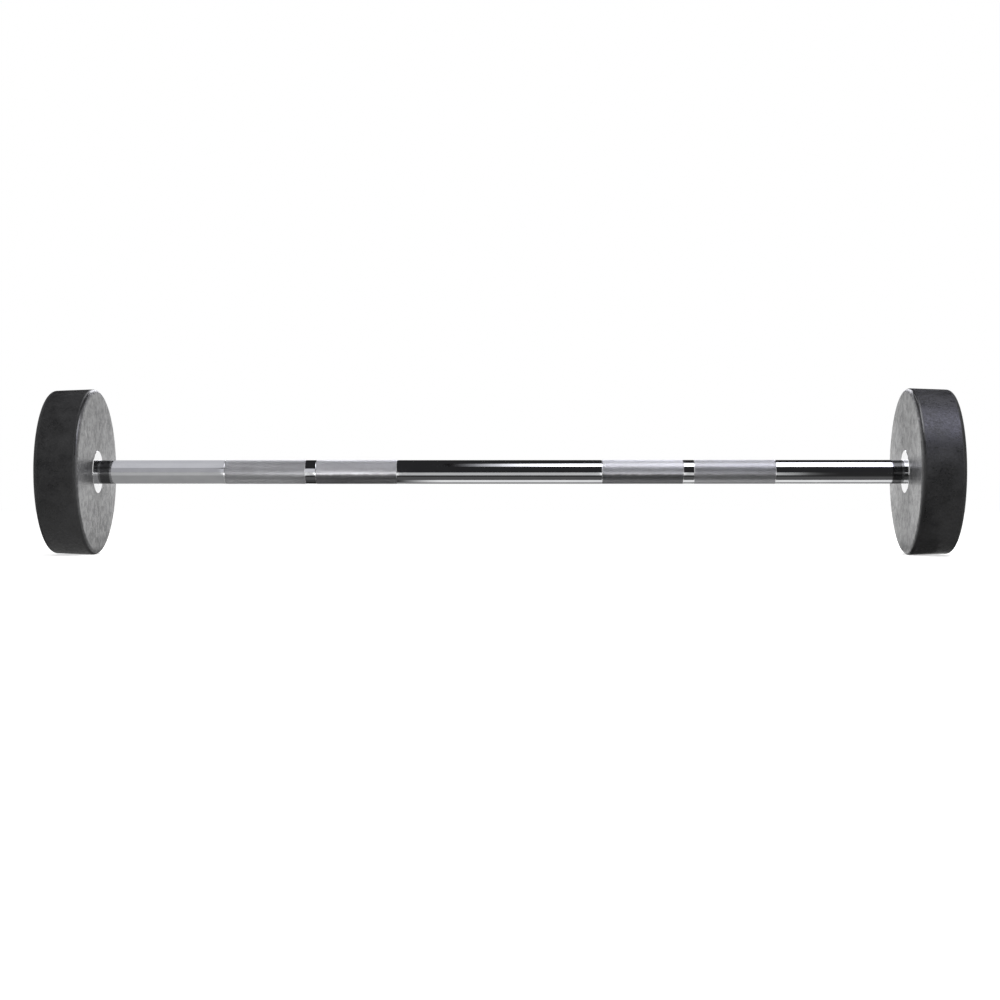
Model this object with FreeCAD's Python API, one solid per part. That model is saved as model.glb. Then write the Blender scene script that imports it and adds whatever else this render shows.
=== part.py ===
import FreeCAD, Part
import math
import os

# Fixed-weight straight barbell, in millimetres. The bar lies along X, Z is up, and the origin is the
# middle of the bar's axis. Both ends are alike, so each end piece is made at the right-hand end, +X,
# and mirrored to the left.

# Bar: one steel piece, smooth in the middle and beside the heads, with two knurled bands a side
grip_diameter = 30.0
span_between_heads = 1020.0
centre_smooth_length = 258.0
inner_knurl_length = 102.5
ring_mark_length = 13.0
outer_knurl_length = 102.5
knurl_root_depth = 0.25
shoulder_width = 2.5
spigot_setback = 0.5
shoulder_chamfer = 0.5
spigot_chamfer = 1.0

# Head casing: moulded over the core, largest at its inner edge and drawn in towards its outer edge
head_diameter = 210.0
head_draft = 2.0
head_thickness = 55.0
head_edge_round = 5.5
casing_rim_wall = 6.5
casing_over_flange = 3.0
casing_under_cap = 1.5
recess_edge_round = 1.0

# Head core: cast iron weight with a pocket for the bolt in its outer side
core_edge_chamfer = 2.0
pocket_margin = 1.5

# Inner flange: polished ring round the bar, its wider foot held under the casing
flange_width = 12.0
flange_foot_width = 4.0
flange_foot_thickness = 3.0
flange_stand_out = 0.4
flange_edge_chamfer = 0.4

# Hub sleeve: hexagonal bush with a round flange, cast into the core
sleeve_wall = 7.5
sleeve_flange_width = 12.0
sleeve_flange_thickness = 4.0

# Drive key between the bar's spigot and the sleeve
key_width = 8.0
key_height = 7.0
key_depth_in_spigot = 4.0
key_end_land = 3.0

# End bolt with its lock washer and thick washer
bolt_diameter = 12.0
bolt_length = 35.0
bolt_head_diameter = 18.0
bolt_head_height = 12.0
bolt_socket_flats = 10.0
bolt_socket_depth = 6.0
bolt_head_chamfer = 1.0
bolt_tip_chamfer = 1.2
bolt_bore_runout = 5.0
lock_washer_diameter = 21.0
lock_washer_thickness = 2.5
lock_washer_slit = 1.6
lock_washer_slit_slope = 25.0
end_washer_thickness = 5.0
end_washer_bearing = 3.5

# End cap: round cover in a recess of the casing's outer face, with a centring lip in the bolt's pocket
cap_diameter = 96.0
cap_thickness = 3.5
cap_inset = 1.0
cap_edge_chamfer = 0.8
cap_dish_depth = 0.5
cap_dish_margin = 2.5
cap_lip_height = 2.0
cap_lip_wall = 3.0
cap_headroom = 1.0

# Cap screws: countersunk, three a side
screw_count = 3
screw_diameter = 5.0
screw_length = 16.0
screw_head_diameter = 10.0
screw_head_inset = 0.2
screw_socket_flats = 3.0
screw_socket_depth = 1.8
screw_tip_chamfer = 0.6
screw_bore_runout = 3.0

# Clearances and the overrun of every cut
fit_clearance = 0.05
bond_clearance = 0.1
flange_clearance = 0.1
washer_clearance = 0.5
key_clearance = 0.3
cap_clearance = 0.3
thread_clearance = 0.05
overrun = 5.0

full_turn = 360.0
hexagon_sides = 6
origin = FreeCAD.Vector(0, 0, 0)
bar_axis = FreeCAD.Vector(1, 0, 0)
up_axis = FreeCAD.Vector(0, 0, 1)

# Radii from the bar's axis
grip_radius = grip_diameter / 2
knurl_radius = grip_radius - knurl_root_depth
spigot_radius = grip_radius - shoulder_width
flange_radius = grip_radius + flange_width
flange_foot_radius = flange_radius + flange_foot_width
sleeve_bore_radius = spigot_radius + fit_clearance
sleeve_flat_radius = spigot_radius + sleeve_wall
sleeve_flange_radius = sleeve_flat_radius + sleeve_flange_width
end_washer_radius = sleeve_flat_radius + end_washer_bearing
pocket_radius = end_washer_radius + pocket_margin
head_radius = head_diameter / 2
core_radius = head_radius - head_draft - casing_rim_wall
bolt_radius = bolt_diameter / 2
bolt_bore_radius = bolt_radius + thread_clearance
bolt_hole_radius = bolt_radius + washer_clearance
cap_radius = cap_diameter / 2
cap_recess_radius = cap_radius + cap_clearance
screw_radius = screw_diameter / 2
screw_head_radius = screw_head_diameter / 2
screw_bore_radius = screw_radius + thread_clearance
screw_hole_radius = screw_radius + cap_clearance
screw_circle_radius = (pocket_radius + cap_radius) / 2

# Stations along the bar's axis at the right-hand end, from the head's inner face outwards
head_start = span_between_heads / 2
flange_foot_start = head_start + casing_over_flange
core_start = flange_foot_start + flange_foot_thickness
sleeve_flange_end = core_start + sleeve_flange_thickness
head_end = head_start + head_thickness
cap_top = head_end - cap_inset
cap_seat = cap_top - cap_thickness
core_end = cap_seat - casing_under_cap
bolt_head_top = cap_seat - cap_headroom
bolt_head_seat = bolt_head_top - bolt_head_height
lock_washer_seat = bolt_head_seat - lock_washer_thickness
pocket_floor = lock_washer_seat - end_washer_thickness
spigot_end = pocket_floor - spigot_setback
bolt_tip = bolt_head_seat - bolt_length
bolt_bore_floor = bolt_tip - bolt_bore_runout
key_start = core_start + key_end_land
key_end = spigot_end - key_end_land
screw_top = cap_top - screw_head_inset
screw_tip = screw_top - screw_length
screw_bore_floor = screw_tip - screw_bore_runout


def turned(outline):
    """Solid turned about the bar's axis from (station, radius) points."""
    points = [FreeCAD.Vector(station, 0, radius) for station, radius in outline]
    face = Part.Face(Part.makePolygon(points + points[:1]))
    return face.revolve(origin, bar_axis, full_turn)


def rod(start, end, radius):
    """Plain round bar between two stations."""
    return Part.makeCylinder(radius, end - start, FreeCAD.Vector(start, 0, 0), bar_axis)


def hexagon(start, end, flat_radius):
    """Hexagonal bar between two stations, with flats facing up and down."""
    corner_radius = flat_radius / math.cos(math.pi / hexagon_sides)
    corners = []
    for number in range(hexagon_sides + 1):
        angle = 2 * math.pi * number / hexagon_sides
        corners.append(FreeCAD.Vector(start, corner_radius * math.cos(angle), corner_radius * math.sin(angle)))
    face = Part.Face(Part.makePolygon(corners))
    return face.extrude(FreeCAD.Vector(end - start, 0, 0))


def block(start, end, width, bottom, top):
    """Rectangular block between two stations, centred on Y, from one height to another."""
    corner = FreeCAD.Vector(start, -width / 2, bottom)
    return Part.makeBox(end - start, width, top - bottom, corner)


def mirrored(shape):
    """The same piece at the left-hand end."""
    return shape.mirror(origin, bar_axis)


def on_pitch_circle(shape):
    """Copies of a shape on the bar's axis, moved out to the places of the cap's screws."""
    moved = shape.translated(up_axis * screw_circle_radius)
    copies = []
    for number in range(screw_count):
        copies.append(moved.rotated(origin, bar_axis, full_turn * number / screw_count))
    return copies


def circles_at(shape, station, radius):
    """The round edges of a shape at one station with one radius."""
    found = []
    for edge in shape.Edges:
        is_circle = isinstance(edge.Curve, Part.Circle)
        if is_circle and math.isclose(edge.Curve.Center.x, station) and math.isclose(edge.Curve.Radius, radius):
            found.append(edge)
    return found


def bar_half_outline():
    """Outside of the bar from its middle to its right-hand end."""
    inner_knurl_start = centre_smooth_length / 2
    ring_mark_start = inner_knurl_start + inner_knurl_length
    outer_knurl_start = ring_mark_start + ring_mark_length
    outer_knurl_end = outer_knurl_start + outer_knurl_length
    outline = []
    for start, end in ((inner_knurl_start, ring_mark_start), (outer_knurl_start, outer_knurl_end)):
        outline += [(start, grip_radius), (start, knurl_radius), (end, knurl_radius), (end, grip_radius)]
    outline += [
        (core_start - shoulder_chamfer, grip_radius),
        (core_start, grip_radius - shoulder_chamfer),
        (core_start, spigot_radius),
        (spigot_end - spigot_chamfer, spigot_radius),
        (spigot_end, spigot_radius - spigot_chamfer),
    ]
    return outline


def bar():
    """The whole bar, with a tapped bore and an open keyway in each end."""
    right = bar_half_outline()
    left = [(-station, radius) for station, radius in reversed(right)]
    body = turned([(-spigot_end, 0)] + left + right + [(spigot_end, 0)])
    bore = rod(bolt_bore_floor, spigot_end + overrun, bolt_bore_radius)
    keyway_bottom = spigot_radius - key_depth_in_spigot
    keyway = block(key_start, spigot_end + overrun, key_width, keyway_bottom, spigot_radius + overrun)
    return body.cut([bore, keyway, mirrored(bore), mirrored(keyway)])


def head_casing():
    """Moulded shell round the core, open in the middle of both faces."""
    outer_edge_radius = head_radius - head_draft
    cavity_radius = core_radius + bond_clearance
    foot_radius = flange_foot_radius + flange_clearance
    mouth_radius = flange_radius + flange_clearance
    shell = turned([
        (head_start, mouth_radius),
        (head_start, head_radius),
        (head_end, outer_edge_radius),
        (head_end, cap_recess_radius),
        (cap_seat, cap_recess_radius),
        (cap_seat, pocket_radius),
        (core_end, pocket_radius),
        (core_end, cavity_radius - core_edge_chamfer),
        (core_end - core_edge_chamfer, cavity_radius),
        (core_start + core_edge_chamfer, cavity_radius),
        (core_start, cavity_radius - core_edge_chamfer),
        (core_start, foot_radius),
        (flange_foot_start, foot_radius),
        (flange_foot_start, mouth_radius),
    ])
    edges = circles_at(shell, head_start, head_radius) + circles_at(shell, head_end, outer_edge_radius)
    shell = shell.makeFillet(head_edge_round, edges)
    shell = shell.makeFillet(recess_edge_round, circles_at(shell, head_end, cap_recess_radius))
    return shell.cut(on_pitch_circle(rod(core_end - overrun, cap_seat + overrun, screw_hole_radius)))


def head_core():
    """Cast iron weight with the sleeve's hexagonal hole, the bolt's pocket and the cap screws' bores."""
    weight = turned([
        (core_start, 0),
        (core_start, core_radius - core_edge_chamfer),
        (core_start + core_edge_chamfer, core_radius),
        (core_end - core_edge_chamfer, core_radius),
        (core_end, core_radius - core_edge_chamfer),
        (core_end, 0),
    ])
    cuts = [
        rod(core_start - overrun, sleeve_flange_end, sleeve_flange_radius + fit_clearance),
        hexagon(core_start - overrun, core_end + overrun, sleeve_flat_radius),
        rod(pocket_floor, core_end + overrun, pocket_radius),
    ]
    return weight.cut(cuts + on_pitch_circle(rod(screw_bore_floor, core_end + overrun, screw_bore_radius)))


def hub_sleeve():
    """Hexagonal bush whose round flange lies in the core's inner side, with a keyway right through."""
    body = hexagon(core_start, pocket_floor, sleeve_flat_radius)
    body = body.fuse(rod(core_start, sleeve_flange_end, sleeve_flange_radius))
    bore = rod(core_start - overrun, pocket_floor + overrun, sleeve_bore_radius)
    keyway_top = spigot_radius - key_depth_in_spigot + key_height + key_clearance
    keyway = block(core_start - overrun, pocket_floor + overrun, key_width, 0, keyway_top)
    return body.cut([bore, keyway]).removeSplitter()


def drive_key():
    """Square-ended parallel key, seated in the spigot's keyway."""
    bottom = spigot_radius - key_depth_in_spigot
    return block(key_start, key_end, key_width, bottom, bottom + key_height)


def inner_flange():
    """Polished ring round the bar, with a wider foot that rests on the core and the sleeve."""
    bore_radius = grip_radius + flange_clearance
    face = head_start - flange_stand_out
    return turned([
        (face, bore_radius),
        (face, flange_radius - flange_edge_chamfer),
        (face + flange_edge_chamfer, flange_radius),
        (flange_foot_start, flange_radius),
        (flange_foot_start, flange_foot_radius),
        (core_start, flange_foot_radius),
        (core_start, bore_radius),
    ])


def end_washer():
    """Thick washer on the pocket's floor, over the ends of the sleeve and the core."""
    disc = rod(pocket_floor, lock_washer_seat, end_washer_radius)
    return disc.cut(rod(pocket_floor - overrun, lock_washer_seat + overrun, bolt_hole_radius))


def lock_washer():
    """Spring washer drawn flat under the bolt's head, with its slanted slit at the top."""
    ring = rod(lock_washer_seat, bolt_head_seat, lock_washer_diameter / 2)
    ring = ring.cut(rod(lock_washer_seat - overrun, bolt_head_seat + overrun, bolt_hole_radius))
    slit = block(lock_washer_seat - overrun, bolt_head_seat + overrun, lock_washer_slit, 0, lock_washer_diameter)
    middle = FreeCAD.Vector((lock_washer_seat + bolt_head_seat) / 2, 0, 0)
    return ring.cut(slit.rotated(middle, up_axis, lock_washer_slit_slope))


def end_bolt():
    """Socket-head bolt that screws into the bar's end."""
    rim = bolt_head_diameter / 2
    body = turned([
        (bolt_tip, 0),
        (bolt_tip, bolt_radius - bolt_tip_chamfer),
        (bolt_tip + bolt_tip_chamfer, bolt_radius),
        (bolt_head_seat, bolt_radius),
        (bolt_head_seat, rim),
        (bolt_head_top - bolt_head_chamfer, rim),
        (bolt_head_top, rim - bolt_head_chamfer),
        (bolt_head_top, 0),
    ])
    return body.cut(hexagon(bolt_head_top - bolt_socket_depth, bolt_head_top + overrun, bolt_socket_flats / 2))


def screw_cone(clearance):
    """Countersunk head of a cap screw up to the cap's face, wider all round by the clearance."""
    cone_bottom = screw_top - (screw_head_radius - screw_radius)
    return turned([
        (cone_bottom, 0),
        (cone_bottom, screw_radius + clearance),
        (screw_top, screw_head_radius + clearance),
        (screw_top, 0),
    ])


def end_cap():
    """Round cover with a shallow dish in its middle, a centring lip behind it and countersunk holes."""
    dish_radius = screw_circle_radius - screw_head_radius - cap_dish_margin
    lip_radius = pocket_radius - cap_clearance
    lip_end = cap_seat - cap_lip_height
    cover = turned([
        (cap_seat, 0),
        (cap_seat, lip_radius - cap_lip_wall),
        (lip_end, lip_radius - cap_lip_wall),
        (lip_end, lip_radius),
        (cap_seat, lip_radius),
        (cap_seat, cap_radius),
        (cap_top - cap_edge_chamfer, cap_radius),
        (cap_top, cap_radius - cap_edge_chamfer),
        (cap_top, dish_radius),
        (cap_top - cap_dish_depth, dish_radius - cap_dish_depth),
        (cap_top - cap_dish_depth, 0),
    ])
    hole = rod(cap_seat - overrun, screw_top, screw_hole_radius)
    mouth = rod(screw_top, cap_top + overrun, screw_head_radius + cap_clearance)
    cutter = screw_cone(cap_clearance).fuse([hole, mouth])
    return cover.cut(on_pitch_circle(cutter))


def cap_screws():
    """The cap's countersunk screws, each with a hexagonal socket."""
    shank = turned([
        (screw_tip, 0),
        (screw_tip, screw_radius - screw_tip_chamfer),
        (screw_tip + screw_tip_chamfer, screw_radius),
        (screw_top, screw_radius),
        (screw_top, 0),
    ])
    socket = hexagon(screw_top - screw_socket_depth, screw_top + overrun, screw_socket_flats / 2)
    screw = shank.fuse(screw_cone(0)).cut(socket).removeSplitter()
    return Part.makeCompound(on_pitch_circle(screw))


end_pieces = {
    "head_casing": head_casing,
    "head_core": head_core,
    "hub_sleeve": hub_sleeve,
    "inner_flange": inner_flange,
    "drive_key": drive_key,
    "end_washer": end_washer,
    "lock_washer": lock_washer,
    "end_bolt": end_bolt,
    "end_cap": end_cap,
    "cap_screws": cap_screws,
}

os.makedirs("parts", exist_ok=True)
bar().exportStep("parts/bar.step")
for name, make in end_pieces.items():
    piece = make()
    piece.exportStep(f"parts/{name}_right.step")
    mirrored(piece).exportStep(f"parts/{name}_left.step")
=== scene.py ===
import bmesh
import bpy
import math
from mathutils import Matrix, Vector


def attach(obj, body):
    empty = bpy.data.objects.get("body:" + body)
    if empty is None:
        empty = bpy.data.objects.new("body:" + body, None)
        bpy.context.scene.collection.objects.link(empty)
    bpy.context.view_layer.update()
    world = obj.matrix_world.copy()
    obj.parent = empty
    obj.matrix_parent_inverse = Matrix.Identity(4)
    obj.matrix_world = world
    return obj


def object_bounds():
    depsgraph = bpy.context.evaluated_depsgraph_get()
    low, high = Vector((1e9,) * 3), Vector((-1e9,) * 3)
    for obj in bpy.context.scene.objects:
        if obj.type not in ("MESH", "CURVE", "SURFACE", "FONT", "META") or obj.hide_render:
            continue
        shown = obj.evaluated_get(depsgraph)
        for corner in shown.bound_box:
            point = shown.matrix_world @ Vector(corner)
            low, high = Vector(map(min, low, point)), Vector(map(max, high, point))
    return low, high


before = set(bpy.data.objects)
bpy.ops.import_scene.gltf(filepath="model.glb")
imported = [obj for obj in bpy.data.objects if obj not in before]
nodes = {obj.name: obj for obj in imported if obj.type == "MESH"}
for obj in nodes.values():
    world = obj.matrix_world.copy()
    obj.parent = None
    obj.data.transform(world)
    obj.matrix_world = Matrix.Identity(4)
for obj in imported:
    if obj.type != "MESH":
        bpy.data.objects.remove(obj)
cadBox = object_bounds()
scene = bpy.context.scene
print("frame loaded:", len(nodes), "nodes")


# small helpers for shader trees
def addNode(tree, kind, inputs=None, **settings):
    node = tree.nodes.new("ShaderNode" + kind)
    for name, value in settings.items():
        setattr(node, name, value)
    for name, value in (inputs or {}).items():
        if isinstance(value, bpy.types.NodeSocket):
            tree.links.new(value, node.inputs[name])
        else:
            node.inputs[name].default_value = value
    return node


def doMath(tree, operation, first, second=0.0, third=0.0):
    return addNode(tree, "Math", {0: first, 1: second, 2: third}, operation=operation).outputs[0]


def vectorMath(tree, operation, first, second):
    return addNode(tree, "VectorMath", {0: first, 1: second}, operation=operation).outputs[0]


def weigh(tree, first, second, firstShare, secondShare):   # sum of two values, each with its share
    return doMath(tree, "MULTIPLY_ADD", first, firstShare, doMath(tree, "MULTIPLY", second, secondShare))


def blend(tree, factor, first, second):
    return addNode(tree, "Mix", {"Factor": factor, "A": first, "B": second}).outputs["Result"]


def rescale(tree, value, low, high, newLow=0.0, newHigh=1.0):
    inputs = {"Value": value, "From Min": low, "From Max": high, "To Min": newLow, "To Max": newHigh}
    node = addNode(tree, "MapRange", inputs, clamp=True, interpolation_type="SMOOTHSTEP")
    return node.outputs["Result"]


def colourSteps(tree, value, steps):
    ramp = addNode(tree, "ValToRGB", {"Fac": value})
    elements = ramp.color_ramp.elements
    while len(elements) < len(steps):
        elements.new(0.5)
    for element, (place, colour) in zip(elements, steps):
        element.position = place
        element.color = (*colour, 1.0)
    return ramp.outputs["Color"]


def grain(tree, place, scale, detail=2.0, roughness=0.5, stretch=(1.0, 1.0, 1.0)):
    mapping = addNode(tree, "Mapping", {"Vector": place, "Scale": stretch})
    inputs = {"Vector": mapping.outputs[0], "Scale": scale, "Detail": detail, "Roughness": roughness}
    return addNode(tree, "TexNoise", inputs).outputs["Fac"]


def relief(tree, height, distance, strength=1.0, below=None):
    inputs = {"Height": height, "Distance": distance, "Strength": strength}
    if below:
        inputs["Normal"] = below
    return addNode(tree, "Bump", inputs).outputs["Normal"]


def newLook(name):
    material = bpy.data.materials.new(name)
    material.use_nodes = True
    material.node_tree.nodes.clear()
    return material, material.node_tree


def newFinish(name, **sockets):
    material, tree = newLook(name)
    shader = addNode(tree, "BsdfPrincipled")
    for socket, value in sockets.items():
        shader.inputs[socket.replace("_", " ")].default_value = value
    addNode(tree, "OutputMaterial", {"Surface": shader.outputs[0]})
    return material, tree, shader


def plugIn(tree, shader, **sockets):
    for socket, value in sockets.items():
        tree.links.new(value, shader.inputs[socket.replace("_", " ")])


def objectPlace(tree):
    return addNode(tree, "TexCoord").outputs["Object"]


def splitPlace(tree, place):
    return addNode(tree, "SeparateXYZ", {0: place}).outputs


def turningWay(tree):   # stretches highlights round the bar's axis
    return addNode(tree, "Tangent", direction_type="RADIAL", axis="X").outputs[0]


def radiusFromBar(tree, place):   # distance from the bar's axis
    flat = vectorMath(tree, "MULTIPLY", place, (0.0, 1.0, 1.0))
    return addNode(tree, "VectorMath", {0: flat}, operation="LENGTH").outputs["Value"]


noiseRange = (0.3, 0.7)   # most of what a noise gives lies between these
ringDrift = {"size": 25.0, "reach": 0.00002}   # how turning marks wander from true circles, in metres


def turnedRings(tree, place, scale):   # rings round the bar's axis, as a lathe tool leaves
    drift = doMath(tree, "MULTIPLY", grain(tree, place, ringDrift["size"]), ringDrift["reach"])
    along = addNode(tree, "CombineXYZ", {"X": radiusFromBar(tree, place), "Y": drift})
    return grain(tree, along.outputs[0], scale, detail=3.0, roughness=0.7)


def newPiece(name, mesh, materials):
    data = bpy.data.meshes.new(name)
    mesh.to_mesh(data)
    mesh.free()
    for material in materials:
        data.materials.append(material)
    piece = bpy.data.objects.new(name, data)
    scene.collection.objects.link(piece)
    return piece


# chromed and ground bar
chrome = {
    "tint": [(0.35, (0.60, 0.605, 0.62)), (0.62, (0.66, 0.665, 0.675))],   # dull spots, clean metal
    "smudgeSize": 28.0,
    "smudgeStretch": (1.0, 2.0, 2.0),
    "hazeShares": (0.4, 0.6),      # of fine grinding and of smudges
    "hazeRange": (0.3, 0.75),
    "roughness": (0.03, 0.09),
    "grindLines": 900.0,           # fine lines round the bar, per metre along it
    "grindStretch": (1.0, 0.02, 0.02),
    "grindDepth": 0.0000006,
    "fineGrindLines": 3600.0,      # finer ones that only dull it
    "waves": 55.0,
    "waveStretch": (1.0, 1.6, 1.6),
    "waveDepth": 0.000018,
    "shadeStart": (0.4912, 0.4932),   # stations between which painted shade darkens the bar before each head, standing in for the head's dark face mirrored there
    "shadeEnd": (0.5030, 0.5045),     # and those between which it brightens again
    "shadeShare": 0.32,             # brightness of the painted shade
    "endShare": 0.7,               # brightness beyond it
}


def makeChrome():
    material, tree, shader = newFinish("chromedSteel", Metallic=1.0)
    place = objectPlace(tree)
    smudge = grain(tree, place, chrome["smudgeSize"], detail=5.0, roughness=0.6, stretch=chrome["smudgeStretch"])
    station = doMath(tree, "ABSOLUTE", splitPlace(tree, place)["X"])
    # painted shade: the bar's colour darkens just before each head, where it mirrors the head's dark face
    beforeHead = rescale(tree, station, *chrome["shadeStart"], 1.0, chrome["shadeShare"])
    atHead = rescale(tree, station, *chrome["shadeEnd"], 0.0, chrome["endShare"])
    fineGrind = grain(tree, place, chrome["fineGrindLines"], detail=3.0, roughness=0.7,
                      stretch=chrome["grindStretch"])
    haze = weigh(tree, fineGrind, smudge, *chrome["hazeShares"])
    wave = grain(tree, place, chrome["waves"], stretch=chrome["waveStretch"])
    waved = relief(tree, wave, chrome["waveDepth"])
    grind = grain(tree, place, chrome["grindLines"], stretch=chrome["grindStretch"])
    plugIn(tree, shader,
           Base_Color=vectorMath(tree, "MULTIPLY", colourSteps(tree, smudge, chrome["tint"]),
                                 doMath(tree, "MAXIMUM", beforeHead, atHead)),
           Roughness=rescale(tree, haze, *chrome["hazeRange"], *chrome["roughness"]),
           Normal=relief(tree, grind, chrome["grindDepth"], below=waved))
    return material


# knurling: chrome over cut diamonds, with painted shade darkening the grooves and the bands' undersides, and
# brighter on the worn tops
knurl = {
    "rootRadius": 0.01480,
    "topRadius": 0.01505,
    "cellsRound": 76,
    "cellLength": 0.0021,
    "shoulderShare": 0.60,      # how much of a diamond's half width lies inside its steep sides
    "shoulderHeight": 0.76,     # how much of the height the steep sides take
    "flatShare": 0.44,          # how much stays flat on top
    "halfInset": 0.3,           # the same for the half diamonds at the ends of a band
    "halfHeight": 0.4,
    "runOut": 0.0006,           # plain bright bevel at each end of a band
    "lipRadius": 0.01503,
    "sealRadius": 0.0146,
    "bands": {"inner": (0.129, 0.2315), "outer": (0.2445, 0.347)},
    "trimSlack": 1e-7,
    "weldDistance": 1e-6,
    "tint": [(0.0, (0.56, 0.56, 0.57)), (0.9, (0.80, 0.80, 0.82))],   # grooves, tops
    "patchSize": 160.0,         # patches of wear, which also break up the edge of the painted underside shade
    "patchWear": 0.8,
    "grooveShadeAndWear": (0.85, -0.34),   # how wear, and the painted shade that darkens the grooves, change from root to top, and where that starts
    "wearRange": (0.1, 0.9),
    "roughness": (0.42, 0.40),  # in the grooves, on the tops
    "bandShade": (1.0, 0.8),        # painted shade: brightness of the inner and the outer bands
    "undersideShade": (0.30, 0.56),      # painted shade: the same on their undersides
    "undersideShadeHeights": (-0.0033, -0.0003),   # where the underside's painted shade ends
    "undersideShadeWander": 0.003,
    "toolMarks": 5200.0,
    "toolDepth": 0.000012,
    "bevelTint": [(0.35, (0.72, 0.72, 0.729)), (0.6, (0.80, 0.80, 0.81))],
    "bevelRoughness": (0.22, 0.32),
    "bevelWipe": 700.0,         # wiping marks on the bevels
    "bevelDepth": 0.000004,
}


def makeKnurlChrome():
    material, tree, shader = newFinish("knurledChrome", Metallic=1.0)
    place = objectPlace(tree)
    parts = splitPlace(tree, place)
    height = rescale(tree, radiusFromBar(tree, place), knurl["rootRadius"], knurl["topRadius"])
    patches = grain(tree, place, knurl["patchSize"], detail=4.0, roughness=0.6)
    # colour darker towards the grooves: painted shade there, with random patches of wear
    wearAndGrooveShade = doMath(tree, "MULTIPLY_ADD", patches, knurl["patchWear"],
                  doMath(tree, "MULTIPLY_ADD", height, *knurl["grooveShadeAndWear"]))
    # painted shade: the outer bands darker than the inner ones, and the undersides darker still
    gap = (knurl["bands"]["inner"][1], knurl["bands"]["outer"][0])
    station = doMath(tree, "ABSOLUTE", parts["X"])
    bandShade = rescale(tree, station, *gap, *knurl["bandShade"])
    undersideShade = rescale(tree, station, *gap, *knurl["undersideShade"])
    lowSide = doMath(tree, "MULTIPLY_ADD", patches, knurl["undersideShadeWander"], parts["Z"])
    paintedBandShade = rescale(tree, lowSide, *knurl["undersideShadeHeights"], undersideShade, bandShade)
    plugIn(tree, shader,
           Base_Color=vectorMath(tree, "MULTIPLY", colourSteps(tree, wearAndGrooveShade, knurl["tint"]), paintedBandShade),
           Roughness=rescale(tree, wearAndGrooveShade, *knurl["wearRange"], *knurl["roughness"]),
           Normal=relief(tree, grain(tree, place, knurl["toolMarks"]), knurl["toolDepth"], strength=0.6))
    return material


def makeBevelChrome():   # the polished bevels that frame each band
    material, tree, shader = newFinish("bevelChrome", Metallic=1.0)
    wipe = grain(tree, objectPlace(tree), knurl["bevelWipe"], detail=3.0)
    plugIn(tree, shader,
           Base_Color=colourSteps(tree, wipe, knurl["bevelTint"]),
           Roughness=rescale(tree, wipe, *noiseRange, *knurl["bevelRoughness"]),
           Normal=relief(tree, wipe, knurl["bevelDepth"], strength=0.5))
    return material


def diamondTube(rows, cellLength, cellWidth):   # a sheet of flat diamonds, trimmed and rolled round the axis
    radius = knurl["rootRadius"]
    count = 2 * math.ceil((rows + knurl["cellsRound"]) / 2 + 2)
    mesh = bmesh.new()
    bmesh.ops.create_grid(mesh, x_segments=count, y_segments=count, size=count / 2)
    squares = Matrix.Diagonal((cellLength / math.sqrt(2), cellWidth / math.sqrt(2), 1.0, 1.0))
    bmesh.ops.transform(mesh, matrix=squares @ Matrix.Rotation(math.pi / 4, 4, "Z"), verts=mesh.verts)
    lengthways, across = Vector((1, 0, 0)), Vector((0, 1, 0))
    for axis, half in ((lengthways, rows * cellLength / 2), (across, math.pi * radius)):
        for side in (1, -1):
            parts = mesh.verts[:] + mesh.edges[:] + mesh.faces[:]
            bmesh.ops.bisect_plane(mesh, geom=parts, dist=knurl["trimSlack"],
                                   plane_co=axis * half * side, plane_no=axis * side, clear_outer=True)
    for vertex in mesh.verts:
        angle = vertex.co.y / radius
        vertex.co = Vector((vertex.co.x, -radius * math.cos(angle), radius * math.sin(angle)))
    bmesh.ops.remove_doubles(mesh, verts=mesh.verts, dist=knurl["weldDistance"])

    # the trimming cut the diamonds on the seam in two, so their halves are joined again
    wholeCell = cellLength * 0.9   # only an edge across a whole diamond is longer than this
    seam = [e for e in mesh.edges
            if len(e.link_faces) == 2 and all(len(f.verts) == 3 for f in e.link_faces)
            and abs(e.verts[0].co.x - e.verts[1].co.x) > wholeCell]
    bmesh.ops.dissolve_edges(mesh, edges=seam, use_verts=False)
    bmesh.ops.recalc_face_normals(mesh, faces=mesh.faces)
    if mesh.faces[0].normal.dot(Vector((0, *mesh.faces[0].calc_center_median().yz))) < 0:
        bmesh.ops.reverse_faces(mesh, faces=mesh.faces)
    return mesh


def raiseDiamonds(mesh, cellLength, cellWidth):   # two steps up to a small flat, lower at the ends
    reach = cellLength * cellWidth / 4 / (math.hypot(cellLength, cellWidth) / 2)
    rise = knurl["topRadius"] - knurl["rootRadius"]
    whole = [f for f in mesh.faces if len(f.verts) == 4]
    cut = [f for f in mesh.faces if len(f.verts) == 3]
    shoulder, flat, steep = knurl["shoulderShare"], knurl["flatShare"], knurl["shoulderHeight"]
    for faces, inset, height in ((whole, 1 - shoulder, steep), (whole, shoulder - flat, 1 - steep),
                                 (cut, knurl["halfInset"], knurl["halfHeight"])):
        bmesh.ops.inset_individual(mesh, faces=faces, thickness=reach * inset, depth=rise * height)


def closeEnds(mesh, end):   # both ends rise in a plain bevel, then close inside the bar
    inner = []
    for side in (-1, 1):
        loop = [e for e in mesh.edges if e.is_boundary and e.verts[0].co.x * side > 0]
        for newRadius in (knurl["lipRadius"], knurl["sealRadius"]):
            made = bmesh.ops.extrude_edge_only(mesh, edges=loop)["geom"]
            loop = [g for g in made if isinstance(g, bmesh.types.BMEdge)]
            for vertex in (g for g in made if isinstance(g, bmesh.types.BMVert)):
                away = Vector((0, vertex.co.y, vertex.co.z)).normalized() * newRadius
                vertex.co = Vector((end * side, away.y, away.z))
        inner += loop
    bmesh.ops.bridge_loops(mesh, edges=inner)


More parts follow.
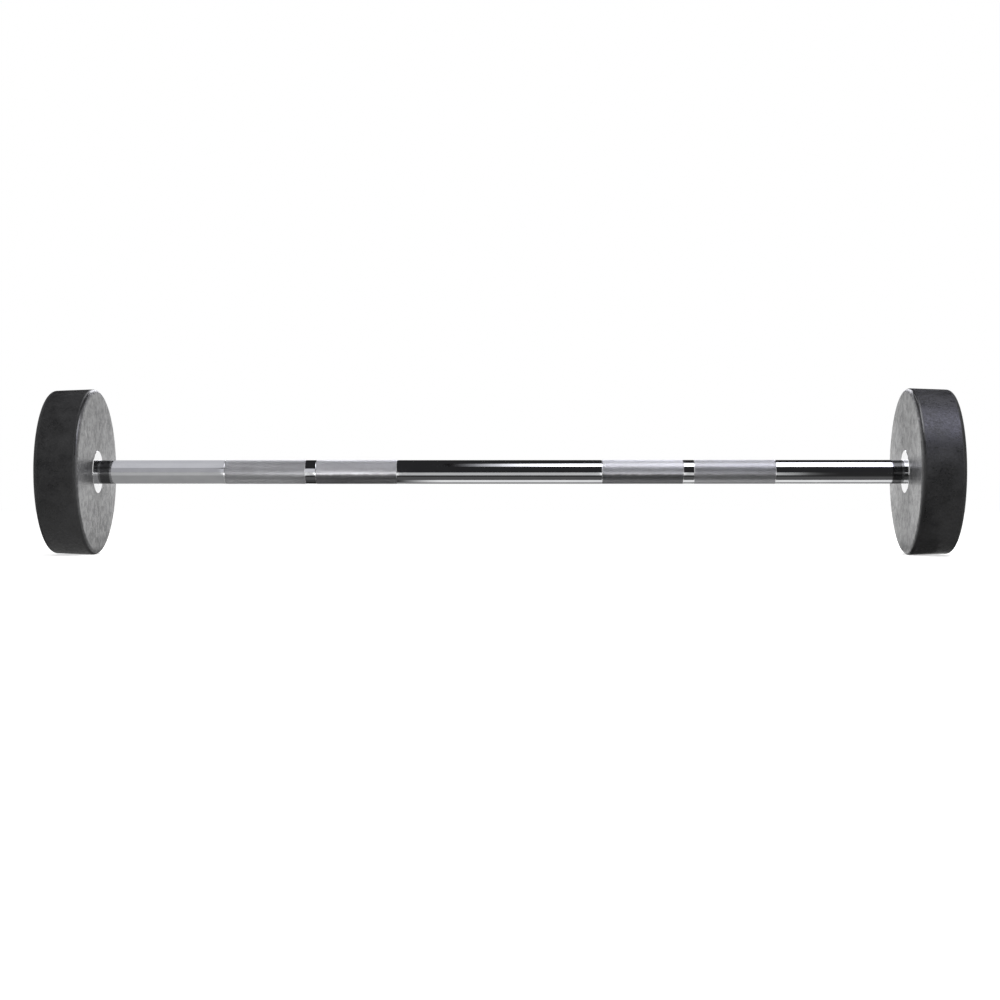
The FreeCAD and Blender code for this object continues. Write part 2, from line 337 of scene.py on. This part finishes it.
def makeKnurlBand(name, start, end, materials):
    span = end - start - 2 * knurl["runOut"]
    rows = 2 * round(span / knurl["cellLength"] / 2)
    cell = (span / rows, 2 * math.pi * knurl["rootRadius"] / knurl["cellsRound"])
    mesh = diamondTube(rows, *cell)
    raiseDiamonds(mesh, *cell)
    diamonds = set(mesh.faces)
    closeEnds(mesh, span / 2 + knurl["runOut"])
    for face in mesh.faces:
        face.material_index = 0 if face in diamonds else 1
    bmesh.ops.recalc_face_normals(mesh, faces=mesh.faces)
    bmesh.ops.translate(mesh, verts=mesh.verts, vec=Vector(((start + end) / 2, 0, 0)))
    piece = newPiece(name, mesh, materials)
    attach(piece, "root")
    return piece


chromeFinish = makeChrome()
bandFinishes = (makeKnurlChrome(), makeBevelChrome())
for bandName, (start, end) in knurl["bands"].items():
    for sideName, ends in (("right", (start, end)), ("left", (-end, -start))):
        band = makeKnurlBand(f"knurl_{bandName}_{sideName}", *ends, bandFinishes)
        print("knurl band", band.name, len(band.data.polygons), "faces")


# urethane heads
urethane = {
    "tint": [(0.38, (0.013, 0.013, 0.0135)), (0.85, (0.030, 0.030, 0.031))],   # plain, chalky
    "cloudSize": 38.0,             # clouds of chalky bloom
    "faceBloom": (0.5, 0.4, 0.3),  # what patches and rings add to a face's bloom, and share of both
    "faceSheenAndChalk": (0.028, 0.028, 0.029),   # added on the flat faces: partly painted sheen for their grazing reflection, partly a chalky turned finish
    "faceTintLow": 0.92,           # share of it in the darker patches
    "highlightLineTint": (0.10, 0.10, 0.104),     # painted highlight: added on a narrow pale line across the inner faces, the streak of light a turned face shows
    "highlightLineAngle": 0.66,             # of that line, from the front horizon up
    "highlightLineWidth": 0.0032,
    "highlightLineBreaks": (0.2, 0.8, 0.3, 1.0),  # how the patches break it up
    "patchSize": 150.0,            # mottling of the faces
    "patchRange": (0.31, 0.69),
    "patchDepth": 0.00020,
    "rings": 2600.0,               # turning marks across the flat faces
    "ringDepth": 0.000012,
    "innerFace": (0.5108, 0.5123),   # stations along the bar where the flat inner face ends
    "outerFace": (0.5642, 0.5648),   # where the outer one starts
    "rim": (0.5155, 0.5595),       # the rim lies between these stations
    "rimFade": 0.002,
    "faceGloss": (0.10, 0.84),     # share of a clear skin over the faces, in dark and pale patches
    "rimGloss": 0.08,
    "edgeGloss": 0.8,              # over the upper edge rounds of the inner faces
    "glossyHeights": (0.004, 0.030),   # above the bar's axis, where those rounds turn glossy
    "edgeRoughness": 0.12,
    "lowEdgeRoughness": 0.6,
    "outerEdgeRoughness": 0.8,
    "edgeSplit": (0.4, 0.6),       # share of the rim's width where inner edge turns into outer
    "faceRoughness": (0.28, 0.44),
    "faceBloomRange": (0.35, 0.85),
    "rimRoughness": (0.26, 0.58),
    "scuffSize": 300.0,
    "scuffShares": (0.8, 0.4),     # of scuffs and of clouds in the rim's roughness
    "scuffRange": (0.42, 0.78),
    "rubMarks": 0.24,              # roughness where the rim was rubbed
    "rubSize": 640.0,
    "rubStretch": (0.3, 1.0, 1.0),
    "rubRange": (0.42, 0.70),
    "rubPlaces": 21.0,             # size of the spots that were rubbed
    "rubPlacesRange": (0.36, 0.64),
    "mottleSize": 230.0,           # moulded unevenness
    "mottleDepth": 0.00038,
    "mottleOnFaces": 0.12,
}


def headZones(tree, station):   # 1 on the inner face, on both faces, on the rim and on the edge rounds
    onInner = rescale(tree, station, *urethane["innerFace"], 1.0, 0.0)
    onFace = doMath(tree, "MAXIMUM", onInner, rescale(tree, station, *urethane["outerFace"]))
    (start, end), fade = urethane["rim"], urethane["rimFade"]
    onRim = doMath(tree, "MULTIPLY", rescale(tree, station, start - fade, start),
                   rescale(tree, station, end, end + fade, 1.0, 0.0))
    onEdge = doMath(tree, "SUBTRACT", doMath(tree, "SUBTRACT", 1.0, onFace), onRim)
    return onInner, onFace, onRim, onEdge


def paintedHighlightLine(tree, parts, patches, onInner):   # 1 on the painted highlight line across the inner faces
    angle = doMath(tree, "ARCTAN2", parts["Z"], doMath(tree, "MULTIPLY", parts["Y"], -1.0))
    twice = doMath(tree, "MULTIPLY_ADD", angle, 2.0, -2.0 * urethane["highlightLineAngle"])
    highlightLine = rescale(tree, doMath(tree, "COSINE", twice), 1.0 - urethane["highlightLineWidth"], 1.0)
    broken = rescale(tree, patches, *urethane["highlightLineBreaks"])
    return doMath(tree, "MULTIPLY", highlightLine, doMath(tree, "MULTIPLY", broken, onInner))


def rimRoughness(tree, place, cloud):   # scuffed all over, rubbed smooth in spots
    scuffs = grain(tree, place, urethane["scuffSize"], detail=5.0, roughness=0.7)
    scuffed = weigh(tree, scuffs, cloud, *urethane["scuffShares"])
    rough = rescale(tree, scuffed, *urethane["scuffRange"], *urethane["rimRoughness"])
    rubs = grain(tree, place, urethane["rubSize"], detail=4.0, roughness=0.6, stretch=urethane["rubStretch"])
    spots = grain(tree, place, urethane["rubPlaces"], detail=3.0)
    rubbed = doMath(tree, "MULTIPLY", rescale(tree, rubs, *urethane["rubRange"]),
                    rescale(tree, spots, *urethane["rubPlacesRange"]))
    return blend(tree, rubbed, rough, urethane["rubMarks"])


def makeUrethane():
    material, tree, shader = newFinish("blackUrethane", IOR=1.52, Anisotropic=0.75, Coat_Roughness=0.3)
    place = objectPlace(tree)
    parts = splitPlace(tree, place)
    station = doMath(tree, "ABSOLUTE", parts["X"])
    onInner, onFace, onRim, onEdge = headZones(tree, station)
    cloud = grain(tree, place, urethane["cloudSize"], detail=6.0, roughness=0.62)
    rings = turnedRings(tree, place, urethane["rings"])
    patches = grain(tree, place, urethane["patchSize"], detail=4.0, roughness=0.66)
    patches = rescale(tree, patches, *urethane["patchRange"])
    facePatches = doMath(tree, "MULTIPLY", patches, onFace)

    # colour: clouds of bloom, paler on the faces with partly painted sheen, and a painted highlight line
    patchBloom, ringBloom, bloomShare = urethane["faceBloom"]
    ringPart = doMath(tree, "MULTIPLY", rings, doMath(tree, "MULTIPLY", onFace, ringBloom))
    faceGrain = doMath(tree, "MULTIPLY_ADD", facePatches, patchBloom, ringPart)
    bloom = doMath(tree, "MULTIPLY_ADD", faceGrain, bloomShare, cloud)
    # paler faces: partly painted sheen, partly chalky finish
    facePart = doMath(tree, "MULTIPLY", onFace, rescale(tree, patches, 0.0, 1.0, urethane["faceTintLow"], 1.0))
    withFaces = vectorMath(tree, "ADD", colourSteps(tree, bloom, urethane["tint"]),
                           vectorMath(tree, "MULTIPLY", urethane["faceSheenAndChalk"], facePart))
    # painted highlight line across the inner faces
    highlightLine = paintedHighlightLine(tree, parts, patches, onInner)
    withHighlightLine = vectorMath(tree, "ADD", withFaces, vectorMath(tree, "MULTIPLY", urethane["highlightLineTint"], highlightLine))

    # clear skin: patchy on the faces, full on the upper edge rounds of the inner faces, little elsewhere
    outward = rescale(tree, station, *urethane["rim"])
    high = rescale(tree, parts["Z"], *urethane["glossyHeights"])
    faceSkin = doMath(tree, "MULTIPLY", rescale(tree, patches, 0.0, 1.0, *urethane["faceGloss"]), onFace)
    edgeSkin = rescale(tree, outward, *urethane["edgeSplit"],
                       doMath(tree, "MULTIPLY", high, urethane["edgeGloss"]), -urethane["rimGloss"])
    skin = doMath(tree, "MULTIPLY_ADD", onEdge, edgeSkin, faceSkin)

    # roughness: faces, then the rim, then the edge rounds
    smooth = rescale(tree, bloom, *urethane["faceBloomRange"], *urethane["faceRoughness"])
    faceOrRim = blend(tree, onRim, smooth, rimRoughness(tree, place, cloud))
    innerEdge = rescale(tree, high, 0.0, 1.0, urethane["lowEdgeRoughness"], urethane["edgeRoughness"])
    edge = rescale(tree, outward, *urethane["edgeSplit"], innerEdge, urethane["outerEdgeRoughness"])

    # relief: moulded unevenness, patches on the faces, turning marks over them
    mottle = grain(tree, place, urethane["mottleSize"], detail=4.0, roughness=0.55)
    moulded = doMath(tree, "MULTIPLY", mottle, rescale(tree, onFace, 0.0, 1.0, 1.0, urethane["mottleOnFaces"]))
    mould = relief(tree, moulded, urethane["mottleDepth"], strength=0.5)
    patched = relief(tree, facePatches, urethane["patchDepth"], strength=0.6, below=mould)
    turned = relief(tree, doMath(tree, "MULTIPLY", rings, onFace), urethane["ringDepth"], below=patched)
    plugIn(tree, shader,
           Base_Color=withHighlightLine,
           Coat_Weight=doMath(tree, "ADD", skin, urethane["rimGloss"]),
           Roughness=blend(tree, onEdge, faceOrRim, edge),
           Normal=turned, Coat_Normal=turned, Tangent=turningWay(tree))
    return material


# polished ring beside each head
flange = {
    "tint": [(0.3, (0.837, 0.837, 0.84165)), (0.6, (0.90, 0.90, 0.905))],   # smudged, clean
    "smudgeSize": 90.0,
    "hazeShares": (0.6, 0.4),   # of rings and of smudges
    "roughness": (0.07, 0.16),
    "rings": 4200.0,
    "ringDepth": 0.000003,
}


def makePolishedSteel():
    material, tree, shader = newFinish("polishedSteel", Metallic=1.0)
    place = objectPlace(tree)
    rings = turnedRings(tree, place, flange["rings"])
    smudge = grain(tree, place, flange["smudgeSize"], detail=5.0, roughness=0.6)
    haze = weigh(tree, rings, smudge, *flange["hazeShares"])
    plugIn(tree, shader,
           Base_Color=colourSteps(tree, smudge, flange["tint"]),
           Roughness=rescale(tree, haze, *noiseRange, *flange["roughness"]),
           Normal=relief(tree, rings, flange["ringDepth"]))
    return material


# brushed steel cap on each outer face
capFace = {
    "tint": [(0.35, (0.46, 0.465, 0.48)), (0.65, (0.60, 0.60, 0.615))],
    "cloudSize": 60.0,
    "brushShares": (0.65, 0.35),   # of rings and of clouds
    "roughness": (0.20, 0.36),
    "rings": 3400.0,
    "ringDepth": 0.000006,
}


def makeBrushedSteel():
    material, tree, shader = newFinish("brushedSteel", Metallic=1.0, Anisotropic=0.6)
    place = objectPlace(tree)
    rings = turnedRings(tree, place, capFace["rings"])
    cloud = grain(tree, place, capFace["cloudSize"], detail=5.0, roughness=0.6)
    brushed = weigh(tree, rings, cloud, *capFace["brushShares"])
    plugIn(tree, shader,
           Base_Color=colourSteps(tree, brushed, capFace["tint"]),
           Roughness=rescale(tree, brushed, *noiseRange, *capFace["roughness"]),
           Normal=relief(tree, rings, capFace["ringDepth"]), Tangent=turningWay(tree))
    return material


# zinc plated screws and washers, turned sleeve and key, cast core
metals = {
    "zincPlate": {"tint": [(0.35, (0.42, 0.43, 0.45)), (0.65, (0.66, 0.67, 0.68))],
                  "roughness": (0.20, 0.38), "size": 900.0, "depth": 0.000008, "metallic": 1.0},
    "turnedSteel": {"tint": [(0.35, (0.34, 0.34, 0.35)), (0.65, (0.52, 0.52, 0.53))],
                    "roughness": (0.26, 0.42), "size": 1400.0, "depth": 0.00001, "metallic": 1.0},
    "castIron": {"tint": [(0.35, (0.035, 0.034, 0.034)), (0.65, (0.085, 0.082, 0.08))],
                 "roughness": (0.62, 0.85), "size": 420.0, "depth": 0.00018, "metallic": 0.4},
}


def makeMetal(name):
    look = metals[name]
    material, tree, shader = newFinish(name, Metallic=look["metallic"])
    speckle = grain(tree, objectPlace(tree), look["size"], detail=5.0, roughness=0.65)
    plugIn(tree, shader,
           Base_Color=colourSteps(tree, speckle, look["tint"]),
           Roughness=rescale(tree, speckle, *noiseRange, *look["roughness"]),
           Normal=relief(tree, speckle, look["depth"], strength=0.7))
    return material


finishes = {
    "bar": chromeFinish,
    "head_casing": makeUrethane(),
    "inner_flange": makePolishedSteel(),
    "end_cap": makeBrushedSteel(),
    "head_core": makeMetal("castIron"),
}
finishes |= dict.fromkeys(("hub_sleeve", "drive_key"), makeMetal("turnedSteel"))
finishes |= dict.fromkeys(("cap_screws", "end_bolt", "end_washer", "lock_washer"), makeMetal("zincPlate"))
for name, node in nodes.items():
    kind = name.removesuffix("_left").removesuffix("_right")
    node.data.materials.clear()
    node.data.materials.append(finishes[kind])
    for face in node.data.polygons:
        face.material_index = 0
print("finishes set:", len({m.name for m in finishes.values()}) + len(bandFinishes))


# studio: floor, sky, lamp, and cards that only reflections see
studio = {
    "floorSize": 16.0,
    "floorColour": (0.86, 0.86, 0.86),
    "floorGlow": 0.62,
    "skyLevel": 0.62,        # what the sky gives to matt surfaces
    "lampPower": 20.0,
    "lampSize": (1.8, 0.9),
    "lampPlace": (0.25, -0.35, 1.25),
    "cardTint": (0.95, 0.95, 1.0),       # of the curved cards
    "floorCardTint": (1.0, 1.0, 1.0),
    "cardRadius": 1.2,
    "cardLift": 0.0004,      # of the cards that lie on the floor
    "cardFacet": 4.0,        # degrees that one facet of a curved card takes
}
floorHeight = cadBox[0].z


def stagePiece(name, mesh, material):
    piece = newPiece(name, mesh, [material])
    return piece


def flatSheet(name, xSpan, ySpan, height, material):
    mesh = bmesh.new()
    bmesh.ops.create_grid(mesh, x_segments=1, y_segments=1, size=0.5)
    size = Matrix.Diagonal((xSpan[1] - xSpan[0], ySpan[1] - ySpan[0], 1.0, 1.0))
    middle = Matrix.Translation((sum(xSpan) / 2, sum(ySpan) / 2, height))
    bmesh.ops.transform(mesh, matrix=middle @ size, verts=mesh.verts)
    return stagePiece(name, mesh, material)


def curvedSheet(name, xSpan, angles, radius, material):
    mesh = bmesh.new()
    first = Matrix.Rotation(math.radians(-angles[0]), 4, "X")
    ends = [mesh.verts.new(first @ Vector((x, -radius, 0))) for x in xSpan]
    edge = mesh.edges.new(ends)
    steps = max(2, round((angles[1] - angles[0]) / studio["cardFacet"]))
    bmesh.ops.spin(mesh, geom=ends + [edge], cent=(0, 0, 0), axis=(1, 0, 0),
                   angle=math.radians(angles[0] - angles[1]), steps=steps)
    return stagePiece(name, mesh, material)


def seenDirectly(tree):   # 1 for camera, mirror and see-through rays
    path = addNode(tree, "LightPath").outputs
    return doMath(tree, "MAXIMUM", path["Is Camera Ray"],
                  doMath(tree, "MAXIMUM", path["Is Glossy Ray"], path["Is Transmission Ray"]))


def makeFloor():
    material, tree = newLook("paleFloor")
    matt = addNode(tree, "BsdfDiffuse", {"Color": (*studio["floorColour"], 1.0)})
    strength = doMath(tree, "MULTIPLY", seenDirectly(tree), studio["floorGlow"])
    glow = addNode(tree, "Emission", {"Color": (1, 1, 1, 1), "Strength": strength})
    both = addNode(tree, "AddShader", {0: matt.outputs[0], 1: glow.outputs[0]})
    addNode(tree, "OutputMaterial", {"Surface": both.outputs[0]})
    half = studio["floorSize"] / 2
    flatSheet("floor", (-half, half), (-half, half), floorHeight, material)


def makeCardLook(name, card, usualTint):   # a lit or dark card whose ends may fade
    material, tree = newLook(name + "Look")
    across = splitPlace(tree, objectPlace(tree))["X"]
    start, end = card["span"]
    startFade, endFade = card.get("fades", (0, 0))
    strength = card["level"]
    if startFade:
        strength = doMath(tree, "MULTIPLY", rescale(tree, across, start, start + startFade), strength)
    if endFade:
        strength = doMath(tree, "MULTIPLY", rescale(tree, across, end, end - endFade), strength)
    colour = (*card.get("tint", usualTint), 1.0)
    light = addNode(tree, "Emission", {"Color": colour, "Strength": strength})
    addNode(tree, "OutputMaterial", {"Surface": light.outputs[0]})
    return material


def onlyInReflections(piece):
    piece.visible_camera = False
    piece.visible_diffuse = False
    piece.visible_transmission = False
    piece.visible_volume_scatter = False
    piece.visible_shadow = False


# cards curved round the bar: span along it, angles from the front horizon up and over, brightness,
# and where they need them fades at both ends, a tint and a radius
curvedCards = {
    "darkTent": {"span": (-1.30, 1.05), "angles": (-9, 166), "level": 0.03, "radius": 1.35},
    "overheadBox": {"span": (-0.13, 0.42), "angles": (52, 85), "level": 3.3, "fades": (0.28, 0)},
    "overheadKnurl": {"span": (0.18, 0.32), "angles": (94, 125), "level": 1.3},
    "overheadRight": {"span": (0.42, 0.62), "angles": (49, 85), "level": 2.9},
    "overheadEnd": {"span": (0.62, 1.10), "angles": (49, 85), "level": 3.9, "fades": (0, 0.10),
                    "tint": (0.86, 0.86, 1.10)},
    "overheadMiddle": {"span": (0.16, 0.78), "angles": (85, 94), "level": 2.6, "fades": (0.14, 0.10)},
    "overheadRear": {"span": (0.40, 0.76), "angles": (94, 103), "level": 2.4, "fades": (0.12, 0.04)},
    "frontLeft": {"span": (-0.56, -0.24), "angles": (-4, 31), "level": 0.84, "fades": (0, 0.06)},
    "leftLow": {"span": (-0.79, -0.56), "angles": (-4, 40), "level": 0.52},
    "leftMiddle": {"span": (-0.79, -0.50), "angles": (40, 92), "level": 0.78, "fades": (0, 0.06)},
    "leftHigh": {"span": (-0.79, -0.43), "angles": (92, 174), "level": 0.72, "fades": (0, 0.06)},
}

# four alike behind the bar, one for the upper edge of each knurled band
rearCard = {"angles": (140, 164), "level": 3.2, "radius": 1.18}
rearSpans = {
    "rearOuterLeft": (-0.545, -0.402),
    "rearInnerLeft": (-0.375, -0.228),
    "rearInnerRight": (0.176, 0.320),
    "rearOuterRight": (0.354, 0.490),
}
for name, span in rearSpans.items():
    curvedCards[name] = {"span": span, **rearCard}

# cards lying on the floor: span along the bar, reach from front to back, brightness
floorCards = {
    "floorFar": {"span": (-0.34, 1.05), "reach": (-2.0, -0.80), "level": 0.03},
    "floorStripEnd": {"span": (0.50, 1.05), "reach": (-0.80, -0.45), "level": 0.03},
    "floorStripRim": {"span": (0.50, 0.575), "reach": (-0.45, -0.16), "level": 0.03},
    "floorNear": {"span": (-0.268, 0.545), "reach": (-0.16, -0.10), "level": 0.035},
    "floorNearRim": {"span": (0.545, 1.05), "reach": (-0.16, -0.015), "level": 0.25},
    "floorRimRight": {"span": (0.575, 1.05), "reach": (-0.45, -0.16), "level": 0.22},
    "floorUnder": {"span": (-0.268, 0.545), "reach": (-0.10, -0.015), "level": 0.11},
    "floorStreakStart": {"span": (-0.268, -0.145), "reach": (-0.015, 0.053), "level": 0.07},
    "floorStreak": {"span": (-0.145, 0.90), "reach": (-0.015, 0.053), "level": 1.05, "fades": (0.07, 0)},
    "floorBehind": {"span": (-0.268, 0.90), "reach": (0.053, 0.42), "level": 0.27, "fades": (0.13, 0)},
    "floorBehindFar": {"span": (-0.19, 0.18), "reach": (0.42, 1.20), "level": 0.12},
    "floorLeftFar": {"span": (-0.90, -0.34), "reach": (-2.0, -0.80), "level": 0.58},
    "floorLeft": {"span": (-0.90, -0.268), "reach": (-0.16, 0.42), "level": 0.40},
}

# strip in front of the bar, brighter where the knurling mirrors it: place along the bar, brightness
frontStrip = {
    "span": (-0.90, 0.50),
    "reach": (-0.80, -0.16),
    "viewer": (0.0508, -2.29),   # where the mirrored strip is looked at from
    "steps": [
        (-0.60, 0.05), (-0.525, 0.05), (-0.515, 0.58), (-0.348, 0.58), (-0.347, 1.5), (-0.2445, 1.7),
        (-0.2435, 0.68), (-0.2325, 0.68), (-0.2315, 5.2), (-0.132, 5.2), (-0.131, 0.5), (-0.11, 0.64),
        (0.128, 0.68), (0.129, 2.2), (0.2315, 1.8), (0.2325, 0.68), (0.2435, 0.68), (0.2445, 1.1),
        (0.346, 0.8), (0.347, 0.6), (0.372, 0.38), (0.389, 0.14), (0.41, 0.05), (0.43, 0.03),
    ],
}


def makeStripLook():
    material, tree = newLook("frontStripLook")
    parts = splitPlace(tree, objectPlace(tree))
    viewX, viewY = frontStrip["viewer"]
    depth = doMath(tree, "DIVIDE", parts["Y"], viewY)
    station = doMath(tree, "DIVIDE", doMath(tree, "MULTIPLY_ADD", depth, viewX, parts["X"]),
                     doMath(tree, "ADD", depth, 1.0))
    peak = max(level for _, level in frontStrip["steps"])
    length = -2 * frontStrip["steps"][0][0]
    steps = [(x / length + 0.5, (level / peak,) * 3) for x, level in frontStrip["steps"]]
    shade = colourSteps(tree, doMath(tree, "MULTIPLY_ADD", station, 1 / length, 0.5), steps)
    light = addNode(tree, "Emission", {"Color": shade, "Strength": peak})
    addNode(tree, "OutputMaterial", {"Surface": light.outputs[0]})
    return material


makeFloor()
cardHeight = floorHeight + studio["cardLift"]
onlyInReflections(flatSheet("frontStrip", frontStrip["span"], frontStrip["reach"], cardHeight, makeStripLook()))
for name, card in curvedCards.items():
    look = makeCardLook(name, card, studio["cardTint"])
    radius = card.get("radius", studio["cardRadius"])
    onlyInReflections(curvedSheet(name, card["span"], card["angles"], radius, look))
for name, card in floorCards.items():
    look = makeCardLook(name, card, studio["floorCardTint"])
    onlyInReflections(flatSheet(name, card["span"], card["reach"], cardHeight, look))

lampData = bpy.data.lights.new("overheadLamp", "AREA")
lampData.shape = "RECTANGLE"
lampData.size, lampData.size_y = studio["lampSize"]
lampData.energy = studio["lampPower"]
lamp = bpy.data.objects.new("overheadLamp", lampData)
lamp.location = studio["lampPlace"]
lamp.rotation_euler = (-Vector(studio["lampPlace"])).to_track_quat("-Z", "Y").to_euler()
lamp.visible_camera = False
lamp.visible_glossy = False
scene.collection.objects.link(lamp)

world = bpy.data.worlds.new("paleSky")
scene.world = world
world.use_nodes = True
sky = world.node_tree
sky.nodes.clear()
skyStrength = rescale(sky, seenDirectly(sky), 0.0, 1.0, studio["skyLevel"], 1.0)
background = addNode(sky, "Background", {"Color": (1, 1, 1, 1), "Strength": skyStrength})
addNode(sky, "OutputWorld", {"Surface": background.outputs[0]})
print("studio set:", len(curvedCards) + len(floorCards) + 1, "cards")


# camera, fitted to the photograph
view = {
    "place": (0.0508, -2.2897, -0.0355),
    "turn": 0.02186,           # radians, towards the left head
    "lens": 65.25,             # millimetres, as is the sensor's width
    "sensorWidth": 36.0,
    "farthest": 60.0,
}
cameraData = bpy.data.cameras.new("camera")
cameraData.lens = view["lens"]
cameraData.sensor_width = view["sensorWidth"]
cameraData.clip_end = view["farthest"]
camera = bpy.data.objects.new("camera", cameraData)
camera.location = view["place"]
camera.rotation_euler = (math.pi / 2, 0.0, view["turn"])
scene.collection.objects.link(camera)
scene.camera = camera
scene.view_settings.view_transform = "Standard"
print("camera set")
